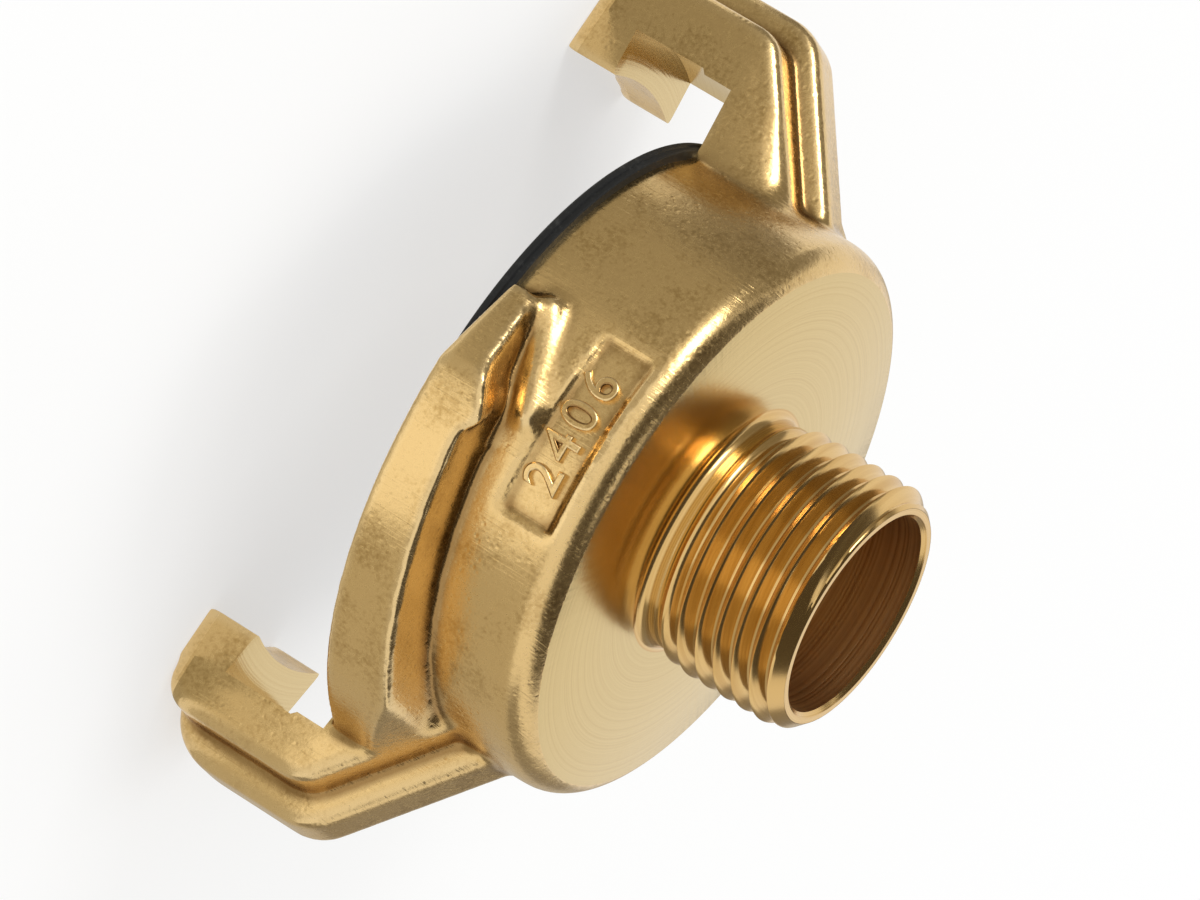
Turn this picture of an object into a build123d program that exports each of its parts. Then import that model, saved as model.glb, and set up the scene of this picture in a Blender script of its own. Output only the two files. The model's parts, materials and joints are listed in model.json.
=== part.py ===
from build123d import *
from math import radians, tan
import os

# Quarter turn hose coupling half: a brass body with a male pipe thread at one end and, at the other,
# two hooked claws and two cam flanges that lock with a second coupling of the same kind.
# Millimetres. +Z is the coupling's axis and points out of the threaded nipple. The origin is on the
# axis, in the plane of the claw tips. The whole body repeats after half a turn.

# --- driving dimensions -------------------------------------------------------------------------
# heights, from the claw tips up
HOOK_THICKNESS = 3.6           # claw tip to the catch face, at the hook's inner end
CATCH_UNDERCUT = 0.35          # how much lower the catch face lies at the pocket wall
CLAW_REACH = 11.05             # claw tip to the rim of the drum
DRUM_DEPTH = 11.85             # rim of the drum to its flat back
NIPPLE_LENGTH = 10.5           # flat back to the end of the nipple

# turned and bored faces
DRUM_RADIUS = 19.05
DRUM_BACK_ROUND = 1.9          # soft outer edge of the drum's back
THREAD_RADIUS = 8.331          # major radius of a G 3/8 pipe thread
THREAD_RUNOUT = 1.9            # plain neck between the flat back and the thread
THREAD_RISE = 0.6              # length of the cone from the neck up to the thread
NECK_RADIUS = 7.75
NECK_FLARE = 0.65              # short cone where the neck meets the flat back
END_CHAMFER = 0.95             # chamfer that leads the thread in
BORE_RADIUS = 6.73
BORE_CHAMFER = 0.25
THROAT_RADIUS = 11.6           # wide passage behind the seal
THROAT_DEPTH = 7.2             # rim to the end of the wide passage
THROAT_CONE = 2.2              # length of the cone down to the bore

# face seal and its groove
GROOVE_RADIUS = 16.2
GROOVE_DEPTH = 4.6
SEAL_CLEARANCE = 0.1
SEAL_LIP_RADIUS = 19.75
SEAL_LIP_HEIGHT = 1.05         # how far the lip stands above the rim
SEAL_BORE_RADIUS = 12.2
SEAL_EDGE_CHAMFER = 0.3

# claws
CLAW_WIDTH = 11.8
CLAW_OFFSET = 1.6              # the claw's middle plane stands this far beside the axis
HOOK_RADIUS = 20.85            # inner end of the hook
POCKET_RADIUS = 23.85          # turned wall of the pocket
POCKET_STEP = 0.3              # the cast wall above the turned one stands this far inward
POCKET_TURNED_TOP = 8.3        # height where the turned wall ends
ARM_FRONT = 10.6               # height of the arm's front at the pocket
ARM_LEAN = 38.0                # slope of the arm's back
FLANK_X = 24.4                 # outer edge of the claw's flat sides
FLANK_BEND = 10.8
SHOULDER_X = 26.8              # rounded shoulders
SHOULDER_BEND = 11.0
SHOULDER_INSET = 0.35          # how far the shoulders stand in from the flat sides
SHOULDER_ROUND = 1.9
RIB_X = 28.85                  # rib along the middle of the claw
RIB_BEND = 11.6
RIB_WIDTH = 4.6
RIB_ROUND = 1.25
RIB_BEND_ROUND = 3.0
RIB_TIP_ROUND = 4.0
SHOULDER_BEND_ROUND = 2.2
SHOULDER_TIP_ROUND = 2.2
FLANK_BEND_ROUND = 1.0
FLANK_TIP_ROUND = 0.4
ROOT_X = 17.0                  # how deep the arm starts inside the drum

# cam flanges
FLANGE_RADIUS = 23.2
FLANGE_TIP = -101.0            # azimuth of the thin end
FLANGE_ROOT = -6.0             # azimuth inside the claw that carries the flange
FACET_NORMAL = -116.5          # the thin end is cut by one flat facet
FACET_DISTANCE = 19.6
RAMP_MIDDLE = -47.0            # azimuth of the middle of the cam ramp
RAMP_HEIGHT = 15.4
RAMP_SLOPE = 3.7
RAMP_START = -11.0             # tangential place of the ramp's start, from its middle
TOOTH_HEIGHT = 15.7            # detent tooth between the lead-in and the ramp
TOOTH_FLANK = 1.2              # tangential run of the tooth's steep side
LEAD_MIDDLE = -88.0            # azimuth of the lead-in; its places are tangential from there
LEAD_START = -8.0
LEAD_START_Z = 12.3
LEAD_KNEE = 0.4
LEAD_KNEE_Z = 13.85
TOOTH_FOOT = 4.1
TOOTH_END = 6.5
FRONT_CHAMFER = 0.6

# low rib beside the lead-in, and the sunk panel
GUIDE_HEIGHT = 0.55
GUIDE_WIDTH = 1.5
GUIDE_LENGTH = 8.2
GUIDE_TILT = 23.0
GUIDE_MIDDLE = -92.0           # azimuth and height of the low rib's middle
GUIDE_Z = 14.85
PANEL_MIDDLE = -84.5
PANEL_SPAN = 37.0
PANEL_WIDTH = 3.7
PANEL_HEIGHT = 19.1            # height of the panel's middle
PANEL_DEPTH = 0.4

# --- making -------------------------------------------------------------------------------------
OVERSHOOT = 1.0                # how far a cut reaches past what it cuts
SAME_PLACE = 1e-6              # how near an edge must be to where it is looked for

# --- places worked out from them ----------------------------------------------------------------
RIM_Z = CLAW_REACH
BACK_Z = RIM_Z + DRUM_DEPTH
END_Z = BACK_Z + NIPPLE_LENGTH
SEAL_TOP_Z = RIM_Z - SEAL_LIP_HEIGHT


def polygon(points):
    """Closed face in the XZ plane from (x, z) points."""
    return Plane.XZ * make_face(Polyline(*points, close=True))


def turned(points):
    """Solid of revolution about Z from (r, z) points."""
    return revolve(polygon(points), Axis.Z)


def half_turn(shape):
    return shape + Rot(0, 0, 180) * shape


# --- body of revolution -------------------------------------------------------------------------
def drum():
    shell = turned([
        (0, RIM_Z), (DRUM_RADIUS, RIM_Z), (DRUM_RADIUS, BACK_Z), (NECK_RADIUS, BACK_Z),
        (NECK_RADIUS, BACK_Z + THREAD_RUNOUT), (THREAD_RADIUS, BACK_Z + THREAD_RUNOUT + THREAD_RISE),
        (THREAD_RADIUS, END_Z), (0, END_Z)])
    back_edge = shell.edges().filter_by(GeomType.CIRCLE).filter_by(
        lambda e: abs(e.radius - DRUM_RADIUS) < SAME_PLACE).sort_by(Axis.Z)[-1]
    shell = fillet(back_edge, DRUM_BACK_ROUND)
    neck_edge = shell.edges().filter_by(GeomType.CIRCLE).filter_by(
        lambda e: abs(e.radius - NECK_RADIUS) < SAME_PLACE).sort_by(Axis.Z)[0]
    shell = chamfer(neck_edge, NECK_FLARE)
    thread_end = shell.edges().filter_by(GeomType.CIRCLE).sort_by(Axis.Z)[-1]
    return chamfer(thread_end, END_CHAMFER)


def passage():
    """Everything bored out of the body: seal groove, throat, cone and the bore of the nipple."""
    throat_z = RIM_Z + THROAT_DEPTH
    return turned([
        (0, RIM_Z), (GROOVE_RADIUS, RIM_Z), (GROOVE_RADIUS, RIM_Z + GROOVE_DEPTH),
        (THROAT_RADIUS, RIM_Z + GROOVE_DEPTH), (THROAT_RADIUS, throat_z),
        (BORE_RADIUS, throat_z + THROAT_CONE), (BORE_RADIUS, END_Z - BORE_CHAMFER),
        (BORE_RADIUS + BORE_CHAMFER, END_Z), (0, END_Z)])


# --- claws --------------------------------------------------------------------------------------
def claw_side(outer_x, bend_z, tip_round, bend_round):
    """Side view of one layer of the claw: up from the tip, round the bend and down into the drum."""
    rise = (outer_x - ROOT_X) * tan(radians(ARM_LEAN))
    side = polygon([(ROOT_X, 0), (outer_x, 0), (outer_x, bend_z), (ROOT_X, bend_z + rise)])
    side = fillet(side.vertices().sort_by_distance((outer_x, 0, 0))[0], tip_round)
    return fillet(side.vertices().sort_by_distance((outer_x, 0, bend_z))[0], bend_round)


def claw_layer(side, width, edge_round=0):
    layer = extrude(side, width / 2, dir=(0, 1, 0), both=True)
    if edge_round:
        outer_edges = layer.edges().filter_by(
            lambda e: abs(abs(e.center().Y) - width / 2) < SAME_PLACE
            and e.center().X > ROOT_X + 0.1 and e.center().Z > 0.05)
        layer = fillet(outer_edges, edge_round)
    return layer


def claw():
    flank = claw_layer(claw_side(FLANK_X, FLANK_BEND, FLANK_TIP_ROUND, FLANK_BEND_ROUND), CLAW_WIDTH)
    shoulder = claw_layer(
        claw_side(SHOULDER_X, SHOULDER_BEND, SHOULDER_TIP_ROUND, SHOULDER_BEND_ROUND),
        CLAW_WIDTH - 2 * SHOULDER_INSET, SHOULDER_ROUND)
    rib = claw_layer(claw_side(RIB_X, RIB_BEND, RIB_TIP_ROUND, RIB_BEND_ROUND), RIB_WIDTH, RIB_ROUND)
    hook = flank + shoulder + rib
    hook = Pos(0, CLAW_OFFSET, 0) * hook
    cutter = turned([
        (0, -OVERSHOOT), (HOOK_RADIUS, -OVERSHOOT), (HOOK_RADIUS, HOOK_THICKNESS),
        (POCKET_RADIUS, HOOK_THICKNESS - CATCH_UNDERCUT), (POCKET_RADIUS, POCKET_TURNED_TOP),
        (POCKET_RADIUS - POCKET_STEP, POCKET_TURNED_TOP + POCKET_STEP),
        (POCKET_RADIUS - POCKET_STEP, ARM_FRONT), (SEAL_LIP_RADIUS + SEAL_CLEARANCE, RIM_Z), (0, RIM_Z)])
    return hook - cutter


# --- cam flanges --------------------------------------------------------------------------------
def sector(inner_r, outer_r, low_z, high_z, start, end):
    """Ring sector between two azimuths in degrees."""
    section = polygon([(inner_r, low_z), (outer_r, low_z), (outer_r, high_z), (inner_r, high_z)])
    return Rot(0, 0, start) * revolve(section, Axis.Z, end - start)


def radial_cutter(azimuth, points):
    """Prism that runs outward from the axis; its outline is (tangential, z) at that azimuth."""
    outline = Plane.YZ * make_face(Polyline(*points, close=True))
    return Rot(0, 0, azimuth) * extrude(outline, 2 * FLANGE_RADIUS)


def cam_flange():
    high = BACK_Z - DRUM_BACK_ROUND
    inner_radius = (GROOVE_RADIUS + DRUM_RADIUS) / 2
    blank = sector(inner_radius, FLANGE_RADIUS, RIM_Z, high, FLANGE_TIP, FLANGE_ROOT)
    outside_facet = Pos(FACET_DISTANCE + FLANGE_RADIUS / 2, 0, RIM_Z) * Box(
        FLANGE_RADIUS, 2 * FLANGE_RADIUS, 2 * DRUM_DEPTH)
    blank -= Rot(0, 0, FACET_NORMAL) * outside_facet
    front_edge = blank.edges().filter_by(GeomType.CIRCLE).filter_by(
        lambda e: abs(e.center().Z - RIM_Z) < SAME_PLACE and abs(e.radius - FLANGE_RADIUS) < SAME_PLACE)
    blank = chamfer(front_edge, FRONT_CHAMFER)
    slope = tan(radians(RAMP_SLOPE))
    ramp_end = FLANGE_RADIUS
    ramp = radial_cutter(RAMP_MIDDLE, [
        (RAMP_START, RAMP_HEIGHT + slope * RAMP_START), (ramp_end, RAMP_HEIGHT + slope * ramp_end),
        (ramp_end, high), (RAMP_START - TOOTH_FLANK, high), (RAMP_START - TOOTH_FLANK, TOOTH_HEIGHT)])
    lead = radial_cutter(LEAD_MIDDLE, [
        (LEAD_START, LEAD_START_Z), (LEAD_KNEE, LEAD_KNEE_Z), (TOOTH_FOOT, TOOTH_HEIGHT),
        (TOOTH_END, TOOTH_HEIGHT), (TOOTH_END, high), (LEAD_START, high)])
    # the root end of the flange stays under the slope of the arm that carries it
    slope_start_x = SHOULDER_X - (high - SHOULDER_BEND) / tan(radians(ARM_LEAN))
    above_arm = extrude(polygon([
        (SHOULDER_X, SHOULDER_BEND), (SHOULDER_X, high), (slope_start_x, high)]),
        FLANGE_RADIUS, dir=(0, 1, 0), both=True)
    return blank - ramp - lead - above_arm


def guide_rib():
    """Low rib that follows the lead-in on the drum's side."""
    outline = Plane.YZ * SlotOverall(GUIDE_LENGTH, GUIDE_WIDTH)
    bar = Rot(GUIDE_TILT, 0, 0) * extrude(outline, DRUM_RADIUS + GUIDE_HEIGHT)
    proud = Cylinder(DRUM_RADIUS + GUIDE_HEIGHT, GUIDE_LENGTH)
    return Pos(0, 0, GUIDE_Z) * ((Rot(0, 0, GUIDE_MIDDLE) * bar) & proud)


def panel():
    return sector(DRUM_RADIUS - PANEL_DEPTH, DRUM_RADIUS + OVERSHOOT, PANEL_HEIGHT - PANEL_WIDTH / 2,
                  PANEL_HEIGHT + PANEL_WIDTH / 2, PANEL_MIDDLE - PANEL_SPAN / 2,
                  PANEL_MIDDLE + PANEL_SPAN / 2)


def coupling_body():
    body = drum() + half_turn(claw()) + half_turn(cam_flange()) + half_turn(guide_rib())
    body -= panel()
    return body - passage()


def face_seal():
    ring = turned([
        (SEAL_BORE_RADIUS, SEAL_TOP_Z), (SEAL_LIP_RADIUS, SEAL_TOP_Z), (SEAL_LIP_RADIUS, RIM_Z),
        (GROOVE_RADIUS - SEAL_CLEARANCE, RIM_Z),
        (GROOVE_RADIUS - SEAL_CLEARANCE, RIM_Z + GROOVE_DEPTH - SEAL_CLEARANCE),
        (SEAL_BORE_RADIUS, RIM_Z + GROOVE_DEPTH - SEAL_CLEARANCE)])
    front_edges = ring.edges().filter_by(GeomType.CIRCLE).filter_by(
        lambda e: abs(e.center().Z - SEAL_TOP_Z) < SAME_PLACE)
    return chamfer(front_edges, SEAL_EDGE_CHAMFER)


os.makedirs("parts", exist_ok=True)
export_step(coupling_body(), "parts/coupling_body.step")
export_step(face_seal(), "parts/face_seal.step")
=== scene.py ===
import json
from math import cos, radians, sin, tan
import bmesh
import bpy
from mathutils import Matrix, Vector

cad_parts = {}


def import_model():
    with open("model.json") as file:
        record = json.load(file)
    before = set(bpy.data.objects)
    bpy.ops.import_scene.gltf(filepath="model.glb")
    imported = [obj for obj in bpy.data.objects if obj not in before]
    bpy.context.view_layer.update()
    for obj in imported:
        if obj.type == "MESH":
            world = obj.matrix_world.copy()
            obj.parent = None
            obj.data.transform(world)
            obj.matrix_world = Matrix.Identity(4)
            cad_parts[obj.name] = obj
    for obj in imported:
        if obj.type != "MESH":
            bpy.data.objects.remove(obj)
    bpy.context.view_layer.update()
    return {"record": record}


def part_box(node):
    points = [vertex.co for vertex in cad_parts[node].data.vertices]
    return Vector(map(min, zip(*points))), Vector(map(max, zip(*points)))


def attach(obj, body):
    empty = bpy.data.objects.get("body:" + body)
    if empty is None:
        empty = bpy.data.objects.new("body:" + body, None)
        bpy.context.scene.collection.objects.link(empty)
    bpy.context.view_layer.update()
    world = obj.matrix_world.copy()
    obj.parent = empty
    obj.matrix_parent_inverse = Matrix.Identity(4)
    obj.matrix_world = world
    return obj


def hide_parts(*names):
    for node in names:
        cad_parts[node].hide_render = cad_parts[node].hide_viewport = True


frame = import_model()

# Visual model of a brass claw coupling half: a soft cast body with machined faces cut into it, a
# threaded nipple and a rubber face seal. Shapes are worked out in millimetres in the frame's own axes
# (+Z out of the nipple, claw tips at zero) and are scaled to metres when a piece is finished.
MM = 0.001
mounts = {m["name"]: m for m in frame["record"]["mounts"]}
body_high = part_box("coupling_body")[1]
seal_low, seal_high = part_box("face_seal")

# --- sizes in millimetres, azimuths in degrees --------------------------------------------------
# heights
END_Z = body_high.z / MM
BACK_Z = mounts["back_face"]["pos_m"][2] / MM
RIM_Z = 11.05
HOOK_THICKNESS = 3.6
CATCH_UNDERCUT = 0.35
# turned faces
DRUM_RADIUS = 19.05
DRUM_BACK_ROUND = 2.05
BACK_FACE_STOCK = 0.15         # cast metal that the lathe took off the back face
RIM_STOCK = 0.8                # cast metal that it took off the rim
NECK_RADIUS = 7.75
NECK_FLARE = 0.65
BORE_RADIUS = mounts["bore"]["dims"]["r_mm"]
BORE_CHAMFER = 0.25
THROAT_RADIUS = 11.6
THROAT_DEPTH = 7.2
THROAT_CONE = 2.2
GROOVE_RADIUS = 16.2
GROOVE_DEPTH = 4.6
# claws, in three layers: flat flanks, rounded shoulders and the rib along the middle
CLAW_WIDTH = 11.8
CLAW_OFFSET = 1.6
HOOK_RADIUS = 20.85
HOOK_TAPER = 1.2               # how far the hook's inner end leans in at the catch face
POCKET_RADIUS = 23.85
POCKET_STEP = 0.3
POCKET_TURNED_TOP = 8.3
ARM_FRONT = 10.6
ARM_LEAN = 38.0
ROOT_X = 17.0
FLANK_X = 24.4
FLANK_BEND = 10.8
FLANK_TIP_ROUND = 0.4
FLANK_BEND_ROUND = 1.0
FLANK_EDGE_ROUND = 1.2
SHOULDER_X = 26.8
SHOULDER_BEND = 11.0
SHOULDER_INSET = 0.1
SHOULDER_TIP_ROUND = 2.2
SHOULDER_BEND_ROUND = 2.2
SHOULDER_EDGE_ROUND = 2.9
RIB_X = body_high.x / MM
RIB_BEND = 11.6
RIB_WIDTH = 4.6
RIB_TIP_ROUND = 4.0
RIB_BEND_ROUND = 3.0
RIB_EDGE_ROUND = 1.25
# cam flanges; places along the ramp and the lead-in are tangential, from the middle of each
FLANGE_RADIUS = 23.2
FLANGE_INSIDE = 17.6
FLANGE_BACK_GAP = 1.9          # flange's back to the drum's flat back
FLANGE_TIP = -101.0
FLANGE_ROOT = -6.0
FACET_NORMAL = -116.5
FACET_DISTANCE = 19.6
RAMP_MIDDLE = -47.0
RAMP_HEIGHT = 15.4
RAMP_SLOPE = 3.7
RAMP_START = -11.0
TOOTH_HEIGHT = 15.7
TOOTH_FLANK = 1.2
LEAD_MIDDLE = -88.0
LEAD_START = -8.0
LEAD_START_Z = 12.3
LEAD_KNEE = 0.4
LEAD_KNEE_Z = 13.85
TOOTH_FOOT = 4.1
TOOTH_END = 6.5
# low rib beside the lead-in
GUIDE_MIDDLE = -92.0
GUIDE_Z = 14.85
GUIDE_LENGTH = 8.2
GUIDE_WIDTH = 1.5
GUIDE_HEIGHT = 0.55
GUIDE_THICKNESS = 4.0
GUIDE_ROUND = 0.5
GUIDE_TILT = 23.0
# sunk panel and its digits
PANEL_START = -103.0
PANEL_SPAN = 37.0
PANEL_LOW = 17.1
PANEL_HIGH = 21.1
PANEL_DEPTH = 0.45
PANEL_DRAFT = 0.15             # lean of the panel's long walls
DIGITS = "2406"
DIGITS_MIDDLE = -84.5
DIGITS_Z = 19.0
DIGITS_SINK = 0.48             # middle of the digits' thickness to the drum's skin
# thread
THREAD_RADIUS = mounts["thread"]["dims"]["r_mm"]
THREAD_PITCH = 1.337
THREAD_DEPTH = 0.8
THREAD_FLAT = 0.12             # share of half a pitch that is flat at the thread's root
THREAD_FLANK = 0.84            # share of half a pitch that a flank takes
THREAD_RUNOUT = 1.9
RUNOUT_LEAD = 0.9              # the thread starts to rise this far before the end of the neck
RUNOUT_RISE = 1.4              # and is at full height after this far
END_CHAMFER = 0.95
# seal
SEAL_TOP = seal_low.z / MM
SEAL_BACK = seal_high.z / MM
SEAL_LIP_RADIUS = seal_high.x / MM
SEAL_LIP_ROUND = 0.35
SEAL_BORE_RADIUS = 12.2
SEAL_ROOM = 0.1                # gap between the seal and its groove

OVERSHOOT = 1.0                # how far a cut reaches past what it cuts
NEAR = 1e-3                    # how near an edge must be to the place where it is looked for
VOXEL = 0.2                    # grid of the cast body's surface
BODY_TRIANGLES = 150000


# --- making meshes ------------------------------------------------------------------------------
def lathe(outline, start=0.0, sweep=360.0, steps=144):
    """Spins a closed outline of (radius, height) points about the coupling's axis."""
    bm = bmesh.new()
    a = radians(start)
    verts = [bm.verts.new((r * cos(a), r * sin(a), z)) for r, z in outline]
    pairs = zip(verts, verts[1:] + verts[:1])
    edges = [bm.edges.new((v, w)) for v, w in pairs if v.co.xy.length + w.co.xy.length > 0]
    bmesh.ops.spin(bm, geom=verts + edges, cent=(0, 0, 0), axis=(0, 0, 1), angle=radians(sweep),
                   steps=steps, use_merge=sweep == 360.0)
    bmesh.ops.remove_doubles(bm, verts=bm.verts, dist=1e-4)
    closed(bm)
    return bm


def closed(bm):
    """Fills the open ends of a shape and turns its faces outward."""
    bmesh.ops.holes_fill(bm, edges=[e for e in bm.edges if e.is_boundary])
    bmesh.ops.recalc_face_normals(bm, faces=bm.faces)


def arc(centre_r, centre_z, radius, start, end, steps=8):
    """Points of a circular arc in an outline, angles in degrees from the outward direction."""
    turns = [radians(start + (end - start) * i / steps) for i in range(steps + 1)]
    return [(centre_r + radius * cos(t), centre_z + radius * sin(t)) for t in turns]


def prism(outline, width):
    """Extrudes an outline of (x, z) points evenly to both sides of the XZ plane."""
    bm = bmesh.new()
    face = bm.faces.new([bm.verts.new((x, -width / 2, z)) for x, z in outline])
    moved = bmesh.ops.extrude_face_region(bm, geom=[face])["geom"]
    far_side = [g for g in moved if isinstance(g, bmesh.types.BMVert)]
    bmesh.ops.translate(bm, vec=(0, width, 0), verts=far_side)
    bmesh.ops.recalc_face_normals(bm, faces=bm.faces)
    return bm


def bevel(bm, edges, offset, segments):
    bmesh.ops.bevel(bm, geom=edges, offset=offset, offset_type="OFFSET", segments=segments,
                    profile=0.5, affect="EDGES", material=-1, clamp_overlap=True)


def turn(bm, degrees, axis="Z"):
    turned = Matrix.Rotation(radians(degrees), 3, axis)
    bmesh.ops.rotate(bm, verts=bm.verts, cent=(0, 0, 0), matrix=turned)
    return bm


def cut_off(bm, place, normal):
    """Removes what lies past a plane and leaves the cut open."""
    bmesh.ops.bisect_plane(bm, geom=bm.verts[:] + bm.edges[:] + bm.faces[:], plane_co=place,
                           plane_no=normal, clear_outer=True)


def opened(mesh):
    """A bmesh that holds a copy of a mesh."""
    bm = bmesh.new()
    bm.from_mesh(mesh)
    return bm


def mesh_of(*parts):
    """One mesh from several bmeshes, which are used up."""
    joined = bmesh.new()
    for part in parts:
        step = bpy.data.meshes.new("step")
        part.to_mesh(step)
        part.free()
        joined.from_mesh(step)
        bpy.data.meshes.remove(step)
    mesh = bpy.data.meshes.new("step")
    joined.to_mesh(mesh)
    joined.free()
    return mesh


def linked(name, data):
    """A new object in the scene."""
    made = bpy.data.objects.new(name, data)
    bpy.context.scene.collection.objects.link(made)
    return made


def shown_by(holder):
    """The mesh that an object shows with its modifiers; the object goes."""
    graph = bpy.context.evaluated_depsgraph_get()
    made = bpy.data.meshes.new_from_object(holder.evaluated_get(graph))
    bpy.data.objects.remove(holder)
    return made


def after_modifier(mesh, kind, **settings):
    """The mesh that one modifier makes of a mesh."""
    holder = linked("holder", mesh)
    modifier = holder.modifiers.new(kind, kind)
    for name, value in settings.items():
        setattr(modifier, name, value)
    return shown_by(holder)


def remeshed(mesh):
    """One even skin over shells that run into each other."""
    return after_modifier(mesh, "REMESH", mode="VOXEL", voxel_size=VOXEL, adaptivity=0.0)


def cut(mesh, tool, tool_slot=0):
    """Cuts one closed mesh with another. Faces that the tool leaves get its material slot."""
    for m in (mesh, tool):
        while len(m.materials) < 2:
            m.materials.append(None)
    tool.polygons.foreach_set("material_index", [tool_slot] * len(tool.polygons))
    cutter = linked("tool", tool)
    made = after_modifier(mesh, "BOOLEAN", object=cutter, operation="DIFFERENCE", solver="EXACT")
    bpy.data.objects.remove(cutter)
    return made


def finished_piece(name, mesh, materials, node, sharp_angle=35.0):
    """Scales a mesh to metres, shades it and hangs it on the part."""
    mesh.transform(Matrix.Scale(MM, 4))
    # clearing the materials also resets each face's slot, so the slots are kept and set back
    slots = [0] * len(mesh.polygons)
    mesh.polygons.foreach_get("material_index", slots)
    mesh.materials.clear()
    for material in materials:
        mesh.materials.append(material)
    mesh.polygons.foreach_set("material_index", slots)
    mesh.polygons.foreach_set("use_smooth", [True] * len(mesh.polygons))
    mesh.set_sharp_from_angle(angle=radians(sharp_angle))
    mesh.name = name
    piece = linked(name, mesh)
    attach(piece, "root")
    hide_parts(node)
    return piece


# --- cast body ----------------------------------------------------------------------------------
def drum_blank():
    top = BACK_Z + BACK_FACE_STOCK
    outline = [(0, RIM_Z - RIM_STOCK), (DRUM_RADIUS, RIM_Z - RIM_STOCK)]
    outline += arc(DRUM_RADIUS - DRUM_BACK_ROUND, top - DRUM_BACK_ROUND, DRUM_BACK_ROUND, 0, 90)
    outline += [(0, top)]
    return lathe(outline)


def panel_cut():
    """Tool for the sunk panel on the drum's side."""
    inner = DRUM_RADIUS - PANEL_DEPTH
    outer = DRUM_RADIUS + OVERSHOOT
    outline = [(inner, PANEL_LOW + PANEL_DRAFT), (outer, PANEL_LOW), (outer, PANEL_HIGH),
               (inner, PANEL_HIGH - PANEL_DRAFT)]
    return lathe(outline, PANEL_START, PANEL_SPAN, steps=48)


def claw_layer(outer_x, bend_z, width, tip_round, bend_round, edge_round):
    """One layer of a claw: up from the tip, round the bend and down the slope into the drum."""
    rise = (outer_x - ROOT_X) * tan(radians(ARM_LEAN))
    bm = prism([(ROOT_X, 0), (outer_x, 0), (outer_x, bend_z), (ROOT_X, bend_z + rise)], width)

    def cross_edges(z):
        return [e for e in bm.edges if abs(e.verts[0].co.y - e.verts[1].co.y) > width / 2
                and all(abs(v.co.x - outer_x) < NEAR and abs(v.co.z - z) < NEAR for v in e.verts)]
    half_bend = radians(90 + ARM_LEAN) / 2
    bevel(bm, cross_edges(0), tip_round, 8)
    bevel(bm, cross_edges(bend_z), bend_round / tan(half_bend), 8)
    # the edges along the flat sides, apart from those at the root and at the tip's end face
    root_side = ROOT_X + 0.1
    tip_side = 0.02
    sides = []
    for e in bm.edges:
        middle = (e.verts[0].co + e.verts[1].co) / 2
        on_side = abs(abs(middle.y) - width / 2) < NEAR
        if on_side and middle.x > root_side and middle.z > tip_side:
            sides.append(e)
    bevel(bm, sides, edge_round, 6)
    bmesh.ops.translate(bm, vec=(0, CLAW_OFFSET, 0), verts=bm.verts)
    return bm


def claw_blank():
    """Claw with stock where the pocket will be machined."""
    return mesh_of(
        claw_layer(FLANK_X, FLANK_BEND, CLAW_WIDTH,
                   FLANK_TIP_ROUND, FLANK_BEND_ROUND, FLANK_EDGE_ROUND),
        claw_layer(SHOULDER_X, SHOULDER_BEND, CLAW_WIDTH - 2 * SHOULDER_INSET,
                   SHOULDER_TIP_ROUND, SHOULDER_BEND_ROUND, SHOULDER_EDGE_ROUND),
        claw_layer(RIB_X, RIB_BEND, RIB_WIDTH, RIB_TIP_ROUND, RIB_BEND_ROUND, RIB_EDGE_ROUND))


def radial_prism(azimuth, outline):
    """Prism that runs outward from the axis; its outline is (tangential, height) at that azimuth."""
    bm = prism(outline, 2 * FLANGE_RADIUS)
    bmesh.ops.translate(bm, vec=(0, FLANGE_RADIUS, 0), verts=bm.verts)
    bmesh.ops.scale(bm, vec=(-1, 1, 1), verts=bm.verts)
    bmesh.ops.recalc_face_normals(bm, faces=bm.faces)
    return turn(bm, azimuth - 90)


def flange_blank():
    """Cam flange: a ring sector with a facet, the lead-in, the detent tooth and the ramp cut in."""
    high = BACK_Z - FLANGE_BACK_GAP
    above = high + OVERSHOOT
    flange = lathe([(FLANGE_INSIDE, RIM_Z), (FLANGE_RADIUS, RIM_Z), (FLANGE_RADIUS, high),
                    (FLANGE_INSIDE, high)], FLANGE_TIP, FLANGE_ROOT - FLANGE_TIP, steps=72)
    normal = Vector((cos(radians(FACET_NORMAL)), sin(radians(FACET_NORMAL)), 0))
    cut_off(flange, normal * FACET_DISTANCE, normal)
    closed(flange)
    slope = tan(radians(RAMP_SLOPE))
    tooth_top = RAMP_START - TOOTH_FLANK
    ramp = radial_prism(RAMP_MIDDLE, [
        (RAMP_START, RAMP_HEIGHT + RAMP_START * slope),
        (FLANGE_RADIUS, RAMP_HEIGHT + FLANGE_RADIUS * slope),
        (FLANGE_RADIUS, above), (tooth_top, above), (tooth_top, TOOTH_HEIGHT)])
    lead = radial_prism(LEAD_MIDDLE, [
        (LEAD_START, LEAD_START_Z), (LEAD_KNEE, LEAD_KNEE_Z), (TOOTH_FOOT, TOOTH_HEIGHT),
        (TOOTH_END, TOOTH_HEIGHT), (TOOTH_END, above), (LEAD_START, above)])
    slope_x = SHOULDER_X - (above - SHOULDER_BEND) / tan(radians(ARM_LEAN))
    above_arm = prism([(SHOULDER_X, SHOULDER_BEND), (SHOULDER_X, above), (slope_x, above)],
                      2 * FLANGE_RADIUS)
    made = mesh_of(flange)
    for tool in (ramp, lead, above_arm):
        made = cut(made, mesh_of(tool))
    return made


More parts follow.
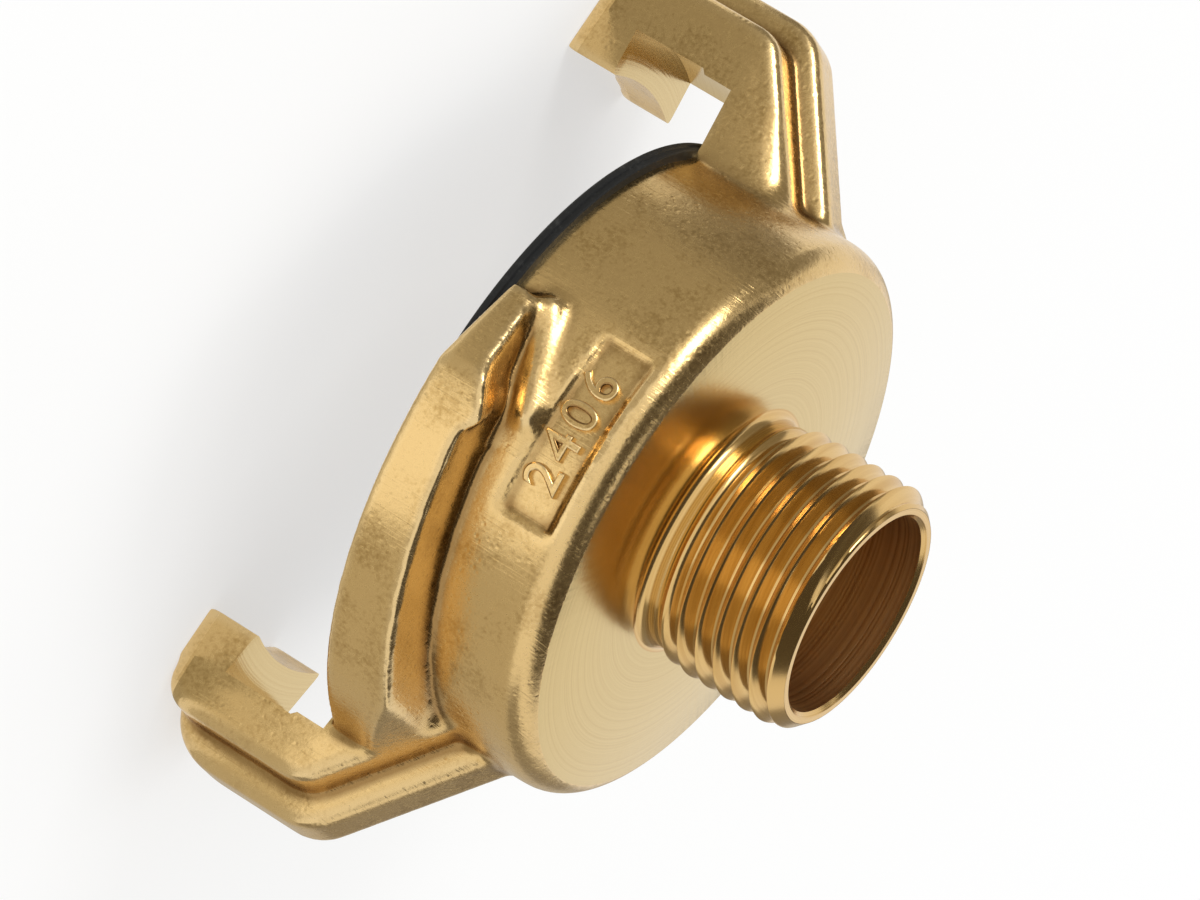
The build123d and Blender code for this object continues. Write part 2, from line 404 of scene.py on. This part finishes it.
def guide_rib():
    """Low rounded rib that follows the lead-in on the drum's side."""
    bm = bmesh.new()
    bmesh.ops.create_cube(bm, size=1)
    bmesh.ops.scale(bm, vec=(GUIDE_THICKNESS, GUIDE_LENGTH, GUIDE_WIDTH), verts=bm.verts)
    bevel(bm, bm.edges[:], GUIDE_ROUND, 3)
    turn(bm, GUIDE_TILT, "X")
    outward = DRUM_RADIUS + GUIDE_HEIGHT - GUIDE_THICKNESS / 2
    bmesh.ops.translate(bm, vec=(outward, 0, GUIDE_Z), verts=bm.verts)
    return mesh_of(turn(bm, GUIDE_MIDDLE))


def half_turned(mesh):
    """The mesh and its copy half a turn round the axis."""
    return mesh_of(opened(mesh), turn(opened(mesh), 180))


def other_half(co):
    """A point's place after half a turn round the axis."""
    return Vector((-co.x, -co.y, co.z))


def root_share(co):
    """How much extra softening a point gets, from 0 to 1: most in the corner beside a claw's root,
    and less on the side where the flange joins the claw."""
    start_x = 14.0             # the softening starts here and is full a fade further out
    fade_x = 2.5
    low_z = 11.4
    high_z = 21.5
    fade_z = 1.5
    outer = 24.0
    corner_radius = DRUM_RADIUS + 1.0
    corner_reach = 4.0
    near_side = 3.6            # places beside the claw's middle plane where it starts and ends
    near_fade = 1.6
    far_side = 10.0
    far_fade = 3.0
    flange_part = 0.25
    side = co if co.x > 0 else other_half(co)
    reach = Vector((side.x, side.y)).length
    if side.x <= start_x or reach >= outer or not low_z < side.z < high_z:
        return 0.0
    beside = side.y - CLAW_OFFSET
    share = 1 - min(1, abs(reach - corner_radius) / corner_reach)
    share *= min(1, (side.x - start_x) / fade_x, (high_z - side.z) / fade_z)
    share *= max(0, min(1, (abs(beside) - near_side) / near_fade,
                        (far_side - abs(beside)) / far_fade))
    return share if beside > 0 else share * flange_part


def in_trough(co):
    """Whether a point lies in the valley between a lead-in and its guide rib."""
    half_length = 6.5
    half_height = 2.5
    middle_z = 14.6
    skin_low = DRUM_RADIUS - 0.8
    skin_high = 20.6
    lead = Matrix.Rotation(radians(-GUIDE_MIDDLE), 3, "Z") @ co
    if lead.x <= 0:
        lead = other_half(lead)
    on_skin = skin_low < lead.x < skin_high
    return on_skin and abs(lead.y) < half_length and abs(lead.z - middle_z) < half_height


def softened(mesh):
    """Rounds a cast blank's edges, and its inner corners by the claws' roots and the lead-ins more."""
    edge_passes = 8
    root_passes = 160
    trough_passes = 20
    bm = opened(mesh)
    smooth = dict(factor=0.5, use_axis_x=True, use_axis_y=True, use_axis_z=True)
    for _ in range(edge_passes):
        bmesh.ops.smooth_vert(bm, verts=bm.verts, **smooth)
    shares = [(root_share(v.co), v) for v in bm.verts]
    roots = [(share, v) for share, v in shares if share > 0]
    troughs = [v for v in bm.verts if in_trough(v.co)]
    for step in range(root_passes):
        still_soft = [v for share, v in roots if share > step / root_passes]
        bmesh.ops.smooth_vert(bm, verts=still_soft, **smooth)
    for _ in range(trough_passes):
        bmesh.ops.smooth_vert(bm, verts=troughs, **smooth)
    return mesh_of(bm)


def raised_digits():
    """Plain digits cast in the sunk panel; they read with their feet towards the nipple."""
    curve = bpy.data.curves.new("digits", "FONT")
    curve.body = DIGITS
    curve.size = 3.4
    curve.space_character = 1.25
    curve.align_x = "CENTER"
    curve.align_y = "CENTER"
    curve.extrude = 0.3
    curve.bevel_depth = 0.13
    curve.bevel_resolution = 2
    curve.offset = -0.05
    bm = opened(shown_by(linked("digits", curve)))
    for v in bm.verts:
        azimuth = radians(DIGITS_MIDDLE) - v.co.x / DRUM_RADIUS
        radius = DRUM_RADIUS - DIGITS_SINK + v.co.z
        v.co = Vector((radius * cos(azimuth), radius * sin(azimuth), DIGITS_Z - v.co.y))
    bmesh.ops.recalc_face_normals(bm, faces=bm.faces)
    return bm


def cast_body():
    """The casting before it is machined."""
    shells = [cut(mesh_of(drum_blank()), mesh_of(panel_cut())), half_turned(claw_blank()),
              half_turned(flange_blank()), half_turned(guide_rib())]
    blank = remeshed(mesh_of(*[opened(shell) for shell in shells]))
    inside = lathe([(0, -OVERSHOOT), (HOOK_RADIUS, -OVERSHOOT), (HOOK_RADIUS, RIM_Z - RIM_STOCK),
                    (0, RIM_Z - RIM_STOCK)])
    soft = softened(remeshed(cut(blank, mesh_of(inside))))
    # the remeshed skin is all quads, so it has two triangles a face
    return after_modifier(soft, "DECIMATE", ratio=BODY_TRIANGLES / (2 * len(soft.polygons)))


def machined(blank):
    """Turns the front, the pockets, the passage and the back face out of the cast blank."""
    below = -2.0
    clear = 40.0               # well outside the claws
    above = BACK_Z + 5.0
    groove_z = RIM_Z + GROOVE_DEPTH
    throat_z = RIM_Z + THROAT_DEPTH
    bore_z = throat_z + THROAT_CONE
    cast_wall = POCKET_RADIUS - POCKET_STEP
    inside_neck = NECK_RADIUS - 0.4
    front = lathe([
        (0, below), (SEAL_LIP_RADIUS, below), (HOOK_RADIUS - HOOK_TAPER, HOOK_THICKNESS),
        (HOOK_RADIUS, HOOK_THICKNESS), (POCKET_RADIUS, HOOK_THICKNESS - CATCH_UNDERCUT),
        (POCKET_RADIUS, POCKET_TURNED_TOP), (cast_wall, POCKET_TURNED_TOP + POCKET_STEP),
        (cast_wall, ARM_FRONT), (SEAL_LIP_RADIUS + SEAL_ROOM, RIM_Z),
        (GROOVE_RADIUS, RIM_Z), (GROOVE_RADIUS, groove_z), (THROAT_RADIUS, groove_z),
        (THROAT_RADIUS, throat_z), (BORE_RADIUS, bore_z), (inside_neck, bore_z),
        (inside_neck, BACK_Z), (clear, BACK_Z), (clear, above), (0, above)])
    body = opened(cut(blank, mesh_of(front), tool_slot=1))
    return with_hollows(mesh_of(body, raised_digits()))


def with_hollows(mesh):
    """Writes how hollow the skin is at each point, in a float attribute: above zero in a hollow."""
    blur_passes = 6
    shortest = 1e-4            # least squared length of an edge, against division by zero
    bm = opened(mesh)
    bm.normal_update()
    near = [[e.other_vert(v).index for e in v.link_edges] for v in bm.verts]
    hollow = []
    for v in bm.verts:
        steps = [e.other_vert(v).co - v.co for e in v.link_edges]
        bends = [d.dot(v.normal) / max(d.length_squared, shortest) for d in steps]
        hollow.append(max(-1.0, min(1.0, sum(bends) / max(1, len(bends)))))
    bm.free()
    for _ in range(blur_passes):
        hollow = [(own + sum(hollow[i] for i in around)) / (1 + len(around))
                  for own, around in zip(hollow, near)]
    mesh.attributes.new("hollow", "FLOAT", "POINT").data.foreach_set("value", hollow)
    return mesh


# --- threaded nipple ----------------------------------------------------------------------------
def thread_skin():
    """Helical surface of the thread: it runs out into the neck and is turned off by the chamfer."""
    low = BACK_Z + NECK_FLARE
    points = 18
    steps = 120
    turns = int((END_Z - low) / THREAD_PITCH) + 3
    chamfer_radius = THREAD_RADIUS + 0.02      # a hair over the crests, which stay whole below it
    bm = bmesh.new()
    verts = []
    for i in range(points + 1):
        from_root = abs(2 * i / points - 1)
        height = min(1.0, max(0.0, (from_root - THREAD_FLAT) / THREAD_FLANK))
        radius = THREAD_RADIUS - THREAD_DEPTH * (1 - height)
        verts.append(bm.verts.new((radius, 0, low + THREAD_PITCH * (i / points - 2))))
    edges = [bm.edges.new(pair) for pair in zip(verts, verts[1:])]
    bmesh.ops.spin(bm, geom=verts + edges, cent=(0, 0, 0), axis=(0, 0, 1),
                   dvec=(0, 0, THREAD_PITCH / steps), angle=radians(360 * turns),
                   steps=steps * turns, use_merge=False)
    bmesh.ops.remove_doubles(bm, verts=bm.verts, dist=NEAR)
    cut_off(bm, (0, 0, low), (0, 0, -1))
    cut_off(bm, (0, 0, END_Z), (0, 0, 1))
    for v in bm.verts:
        grown = (v.co.z - BACK_Z - THREAD_RUNOUT + RUNOUT_LEAD) / RUNOUT_RISE
        radius = NECK_RADIUS + (v.co.xy.length - NECK_RADIUS) * min(1.0, max(0.0, grown))
        chamfer = chamfer_radius - (v.co.z - END_Z + END_CHAMFER)
        v.co.xy = v.co.xy * (min(radius, chamfer) / v.co.xy.length)
    bmesh.ops.recalc_face_normals(bm, faces=bm.faces)
    # an open skin has no inside, so it is turned round if most of it faces the axis
    outward = 0.0
    for f in bm.faces:
        centre = f.calc_center_median()
        outward += f.normal.dot(Vector((centre.x, centre.y, 0)))
    if outward < 0:
        bmesh.ops.reverse_faces(bm, faces=bm.faces)
    return bm


def nipple():
    """Tube from the cone of the passage to the end of the nipple, with the thread round it."""
    low = RIM_Z + THROAT_DEPTH + THROAT_CONE
    seat = NECK_RADIUS + NECK_FLARE
    seat_z = BACK_Z - 0.3      # the neck's foot is sunk a little in the back face
    thread_z = BACK_Z + NECK_FLARE
    core_z = thread_z + 0.2    # from here the tube is under the thread's skin
    in_bore = BORE_RADIUS + 0.01
    core = THREAD_RADIUS - END_CHAMFER
    outline = [(BORE_RADIUS, low), (core, low), (core, seat_z), (seat, seat_z)]
    outline += arc(seat, thread_z, NECK_FLARE, 270, 180, 6)
    outline += [(core, core_z), (core, END_Z), (BORE_RADIUS + BORE_CHAMFER, END_Z),
                (BORE_RADIUS, END_Z - BORE_CHAMFER)]
    tube = lathe(outline)
    for face in tube.faces:
        face.material_index = int(face.calc_center_median().xy.length < in_bore)
    return mesh_of(tube, thread_skin())


# --- face seal ----------------------------------------------------------------------------------
def seal():
    """Face seal: a rounded lip over the rim, with a shallow parting step round it, and a foot that
    fills the groove."""
    edge = SEAL_LIP_RADIUS
    foot = GROOVE_RADIUS - SEAL_ROOM
    round_z = SEAL_TOP + SEAL_LIP_ROUND
    step_z = RIM_Z - 0.5
    step_rise = 0.08
    step_depth = 0.1
    flash = edge - 0.05        # the step bulges a little towards the rim
    flash_foot = edge - 0.12
    outline = [(SEAL_BORE_RADIUS, round_z + 0.05)]
    outline += arc(SEAL_BORE_RADIUS + SEAL_LIP_ROUND, round_z, SEAL_LIP_ROUND, 180, 270, 5)
    outline += arc(edge - SEAL_LIP_ROUND, round_z, SEAL_LIP_ROUND, -90, 0, 6)
    outline += [(edge, step_z), (edge - step_depth, step_z + step_rise),
                (flash, RIM_Z - step_rise), (flash_foot, RIM_Z), (foot, RIM_Z), (foot, SEAL_BACK),
                (SEAL_BORE_RADIUS, SEAL_BACK)]
    return mesh_of(lathe(outline, steps=180))


# --- materials ----------------------------------------------------------------------------------
def colour(code):
    """Linear colour from an sRGB hex value."""
    parts = [int(code[i:i + 2], 16) / 255 for i in (1, 3, 5)]
    return (*[p / 12.92 if p <= 0.04045 else ((p + 0.055) / 1.055) ** 2.4 for p in parts], 1.0)


def add(tree, kind, inputs=None, **settings):
    """Adds one node with its settings, and its input values or links."""
    node = tree.nodes.new(kind)
    for name, value in settings.items():
        setattr(node, name, value)
    for key, value in (inputs or {}).items():
        if isinstance(value, bpy.types.NodeSocket):
            tree.links.new(value, node.inputs[key])
        else:
            node.inputs[key].default_value = value
    return node


def combine(tree, operation, first, second):
    """The sum, product or larger one of two values."""
    return add(tree, "ShaderNodeMath", {0: first, 1: second}, operation=operation).outputs["Value"]


def spread(tree, value, low, high, to_low=0.0, to_high=1.0):
    """Maps a value from one range to another and stops at its ends."""
    return add(tree, "ShaderNodeMapRange", {
        "Value": value, "From Min": low, "From Max": high, "To Min": to_low,
        "To Max": to_high}).outputs["Result"]


def tones(tree, value, low, low_tone, high, high_tone):
    """Colour that runs from one tone to another while a value rises from low to high."""
    ramp = add(tree, "ShaderNodeValToRGB", {"Fac": value})
    for element, place, tone in zip(ramp.color_ramp.elements, (low, high), (low_tone, high_tone)):
        element.position = place
        element.color = colour(tone)
    return ramp.outputs["Color"]


def mixed(tree, share, first, second):
    """Blend of two colours."""
    node = add(tree, "ShaderNodeMix", {"Factor": share, "A": first, "B": second}, data_type="RGBA")
    return node.outputs["Result"]


def bumped(tree, height, strength, depth, below=None):
    """Bump whose full height is so many millimetres, over the bump below it."""
    inputs = {"Height": height, "Strength": strength, "Distance": depth * MM}
    if below is not None:
        inputs["Normal"] = below
    return add(tree, "ShaderNodeBump", inputs).outputs["Normal"]


def every(size):
    """Texture scale for a pattern that repeats about every so many millimetres."""
    return 1.0 / (size * MM)


def new_material(name):
    material = bpy.data.materials.new(name)
    material.use_nodes = True
    material.node_tree.nodes.clear()
    return material, material.node_tree


def surface(tree, inputs):
    """Ends a material with its shader."""
    shader = add(tree, "ShaderNodeBsdfPrincipled", inputs)
    add(tree, "ShaderNodeOutputMaterial", {"Surface": shader.outputs["BSDF"]})


def cast_brass():
    """Cast brass after tumbling: satin and finely mottled, with small pits and handling scratches.
    How hollow the skin is darkens its hollows brown and lightens its edges: painted shade in the
    hollows, with the oxide that gathers there, and a painted highlight on the edges, with the
    brightening that tumbling gives them."""
    material, tree = new_material("cast_brass_tumbled")
    place = add(tree, "ShaderNodeTexCoord").outputs["Object"]
    patches = add(tree, "ShaderNodeTexNoise", {
        "Vector": place, "Scale": every(4.0), "Detail": 5.0, "Roughness": 0.6}).outputs["Fac"]
    grain = add(tree, "ShaderNodeTexNoise", {
        "Vector": place, "Scale": every(0.3), "Detail": 5.0, "Roughness": 0.65}).outputs["Fac"]
    cells = add(tree, "ShaderNodeTexVoronoi", {
        "Vector": place, "Scale": every(0.6), "Randomness": 1.0}).outputs["Distance"]
    pits = spread(tree, cells, 0.05, 0.3)
    mottle = combine(tree, "ADD", patches, grain)
    skin = tones(tree, mottle, 0.66, "#B8955A", 1.0, "#DFBD80")
    hollow = add(tree, "ShaderNodeAttribute", attribute_name="hollow").outputs["Fac"]
    # painted shade with some oxide: hollows and creases turn brown
    oxide_and_shade = mixed(tree, spread(tree, hollow, 0.02, 0.3, to_high=0.8), skin, colour("#8C683A"))
    # painted highlight with some wear: ridges and edges turn pale
    wear_and_highlight = mixed(tree, spread(tree, hollow, -0.08, -0.4, to_high=0.5), oxide_and_shade, colour("#EACF9C"))
    # scratches run three ways: noise drawn out along each, with its thin peaks kept
    scratches = 0.0
    for turned_by, stretch in ((0.5, 40.0), (2.1, 55.0), (1.2, 30.0)):
        along = add(tree, "ShaderNodeMapping", {
            "Vector": place, "Rotation": (turned_by, turned_by * 2, turned_by),
            "Scale": (stretch, 1.0, 1.0)}).outputs["Vector"]
        line = add(tree, "ShaderNodeTexNoise", {
            "Vector": along, "Scale": every(6.0), "Detail": 2.0}).outputs["Fac"]
        scratches = combine(tree, "MAXIMUM", scratches, spread(tree, line, 0.62, 0.74))
    uneven = bumped(tree, patches, 0.5, 0.12)
    grained = bumped(tree, grain, 0.4, 0.022, uneven)
    pitted = bumped(tree, pits, 0.35, 0.03, grained)
    scratched = bumped(tree, scratches, 0.25, 0.02, pitted)
    surface(tree, {
        "Base Color": wear_and_highlight, "Metallic": 1.0, "Normal": scratched,
        "Roughness": spread(tree, grain, 0.3, 0.7, 0.17, 0.3)})
    return material


def turned_brass(name, light, dark, roughness, mark_spacing, mark_depth):
    """Brass turned or bored on a lathe: brighter and yellower than the cast skin, with fine tool
    marks round the axis that draw its reflections out across them."""
    material, tree = new_material(name)
    place = add(tree, "ShaderNodeTexCoord").outputs["Object"]
    split = add(tree, "ShaderNodeSeparateXYZ", {"Vector": place}).outputs
    flat = add(tree, "ShaderNodeCombineXYZ", {"X": split["X"], "Y": split["Y"]}).outputs["Vector"]
    radius = add(tree, "ShaderNodeVectorMath", {0: flat}, operation="LENGTH").outputs["Value"]
    # radius plus height changes across the marks on flat, conical and cylindrical faces alike
    across = combine(tree, "ADD", radius, split["Z"])
    marks = add(tree, "ShaderNodeTexNoise", {
        "W": across, "Scale": every(mark_spacing), "Detail": 3.0},
        noise_dimensions="1D").outputs["Fac"]
    round_axis = add(tree, "ShaderNodeTangent", direction_type="RADIAL", axis="Z")
    surface(tree, {
        "Base Color": tones(tree, marks, 0.3, dark, 0.6, light), "Metallic": 1.0,
        "Roughness": roughness, "Anisotropic": 0.4, "Tangent": round_axis.outputs["Tangent"],
        "Normal": bumped(tree, marks, 0.5, mark_depth)})
    return material


def seal_rubber():
    """Moulded nitrile rubber: near black and matt, with a little dust."""
    material, tree = new_material("moulded_nitrile_rubber")
    place = add(tree, "ShaderNodeTexCoord").outputs["Object"]
    dust = add(tree, "ShaderNodeTexNoise", {
        "Vector": place, "Scale": every(0.8), "Detail": 6.0, "Roughness": 0.75}).outputs["Fac"]
    surface(tree, {
        "Base Color": tones(tree, dust, 0.55, "#171818", 0.8, "#3C3C3A"), "Roughness": 0.6,
        "Specular IOR Level": 0.3, "Normal": bumped(tree, dust, 0.3, 0.05)})
    return material


# --- studio, in metres --------------------------------------------------------------------------
ROOM = 0.4                     # radius of the surroundings that the metal reflects
LOW_CARD_Z = 0.001             # low cards lie just over the table
UNDER_CARD_Z = 0.0008          # and those under the part just below them
WHITE = (1, 1, 1, 1)


def camera():
    """Long lens from beside the part, rolled so that the nipple points down and to the right."""
    place = Vector((0.058126, -0.470253, 0.201129))
    right = Vector((-0.556, 0.247, 0.794))
    forward = Vector((-0.115, 0.923, -0.368)).normalized()
    right = (right - right.dot(forward) * forward).normalized()
    up = right.cross(forward)
    data = bpy.data.cameras.new("camera")
    data.lens = 252.06
    data.sensor_width = 36.0
    data.clip_start = 0.01
    data.clip_end = 20.0
    shot = linked("camera", data)
    turned = Matrix((right, up, -forward)).transposed()
    shot.matrix_world = Matrix.Translation(place) @ turned.to_4x4()
    bpy.context.scene.camera = shot


def softbox(name, place, size, strength, shine=1.0):
    """Square area lamp aimed at the coupling."""
    data = bpy.data.lights.new(name, "AREA")
    data.shape = "RECTANGLE"
    data.size = size
    data.size_y = size
    data.energy = strength
    data.specular_factor = shine
    middle = Vector((0, 0, 0.015))
    lamp = linked(name, data)
    lamp.location = place
    lamp.rotation_mode = "QUATERNION"
    lamp.rotation_quaternion = (middle - Vector(place)).to_track_quat("-Z", "Y")


def card(name, edge, start, end, tone, strength=1.0):
    """Ring sector round the axis that only reflections see: it gives the metal its bands.
    The edge runs from one (radius, height) point to another."""
    bm = bmesh.new()
    a = radians(start)
    ends = [bm.verts.new((r * cos(a), r * sin(a), z)) for r, z in edge]
    line = bm.edges.new(ends)
    bmesh.ops.spin(bm, geom=ends + [line], cent=(0, 0, 0), axis=(0, 0, 1),
                   angle=radians(end - start), steps=24, use_merge=False)
    mesh = mesh_of(bm)
    material, tree = new_material(name)
    glow = add(tree, "ShaderNodeEmission", {"Color": colour(tone), "Strength": strength})
    add(tree, "ShaderNodeOutputMaterial", {"Surface": glow.outputs["Emission"]})
    mesh.materials.append(material)
    sheet = linked(name, mesh)
    sheet.visible_camera = False
    sheet.visible_diffuse = False
    sheet.visible_shadow = False


def low_card(name, inner, outer, start, end, tone, strength=1.0, height=LOW_CARD_Z):
    """Card that lies flat over the table."""
    card(name, [(inner, height), (outer, height)], start, end, tone, strength)


def seen_directly(tree):
    """One for rays that show the surroundings themselves, not light on the object."""
    ray = add(tree, "ShaderNodeLightPath").outputs
    seen = combine(tree, "MAXIMUM", ray["Is Camera Ray"], ray["Is Glossy Ray"])
    return combine(tree, "MAXIMUM", seen, ray["Is Transmission Ray"])


def floor():
    """Pale table that keeps the part's shadow and fades to white away from it."""
    bm = bmesh.new()
    bmesh.ops.create_circle(bm, cap_ends=True, segments=128, radius=3.0)
    mesh = mesh_of(bm)
    material, tree = new_material("studio_table_white")
    place = add(tree, "ShaderNodeTexCoord").outputs["Object"]
    away = add(tree, "ShaderNodeVectorMath", {0: place}, operation="LENGTH").outputs["Value"]
    lifted = spread(tree, away, 0.05, 0.2, 0.6, 1.0)
    fade = combine(tree, "MULTIPLY", lifted, seen_directly(tree))
    matt = add(tree, "ShaderNodeBsdfDiffuse", {"Color": colour("#F4F4F2")})
    white = add(tree, "ShaderNodeEmission", {"Color": WHITE, "Strength": 1.0})
    mix = add(tree, "ShaderNodeMixShader", {
        0: fade, 1: matt.outputs["BSDF"], 2: white.outputs["Emission"]})
    add(tree, "ShaderNodeOutputMaterial", {"Surface": mix.outputs["Shader"]})
    mesh.materials.append(material)
    table = linked("floor", mesh)


def world():
    """White surroundings, with a slightly softer fill of light on the object."""
    scene = bpy.context.scene
    scene.world = bpy.data.worlds.new("studio")
    scene.world.use_nodes = True
    tree = scene.world.node_tree
    tree.nodes.clear()
    fill = add(tree, "ShaderNodeBackground", {"Color": WHITE, "Strength": 0.8})
    white = add(tree, "ShaderNodeBackground", {"Color": WHITE, "Strength": 1.0})
    mix = add(tree, "ShaderNodeMixShader", {
        0: seen_directly(tree), 1: fill.outputs["Background"], 2: white.outputs["Background"]})
    add(tree, "ShaderNodeOutputWorld", {"Surface": mix.outputs["Shader"]})
    scene.view_settings.view_transform = "Standard"


camera()
world()
floor()
softbox("key_softbox", place=(-0.49, -0.42, 0.29), size=0.26, strength=1.7)
softbox("top_softbox", place=(-0.3, 0.3, 0.8), size=0.5, strength=1.5, shine=0.0)
card("card_above", [(0.05, 0.35), (0.36, 0.35)], 0, 360, "#56514A")
low_card("card_low_dark", 0.044, ROOM, 165, 200, "#8E8A82")
low_card("card_low_left", 0.044, ROOM, 200, 240, "#ACA89E")
low_card("card_low_front", 0.03, ROOM, -120, -80, "#C8C4BA")
low_card("card_low_bright", 0.036, 0.1, -80, -45, "#FFFFFF", 1.25)
# painted shadow: a darker ring of table close round the claw, where the part's shadow lies, that only
# reflections see
low_card("card_near_shadow", 0.024, 0.0275, -85, -5, "#B2AEA2")
low_card("card_near_light", 0.0275, 0.036, -85, -20, "#E6E2D8")
low_card("card_near_left", 0.024, 0.044, 195, 240, "#A6A298")
low_card("card_low_right", 0.03, ROOM, -45, 120, "#C8C4BA")
card("card_side", [(ROOM, 0.0), (ROOM, 0.34)], 150, 205, "#8E8A82")
card("card_rear_right", [(ROOM, 0.0), (ROOM, 0.17)], 10, 80, "#98948C")
# painted light: glowing cards on the table under the part, where its shade falls, that the pockets,
# the throat and the bore reflect
low_card("card_under", 0.011, 0.026, 0, 360, "#DCD8D0", height=UNDER_CARD_Z)
low_card("card_throat", 0.0005, 0.011, 0, 360, "#F2EEE4", 1.8, height=UNDER_CARD_Z)
cast = cast_brass()
faced = turned_brass("faced_brass", "#D7BD84", "#D1B57C", 0.2, 0.16, 0.009)
threaded = turned_brass("thread_cut_brass", "#DDB878", "#CFA766", 0.17, 0.15, 0.012)
bored = turned_brass("bored_brass", "#D8B480", "#B58C5A", 0.34, 0.24, 0.04)
finished_piece("cast_body", machined(cast_body()), [cast, faced], "coupling_body")
finished_piece("threaded_nipple", nipple(), [threaded, bored], "coupling_body")
finished_piece("seal_ring", seal(), [seal_rubber()], "face_seal")
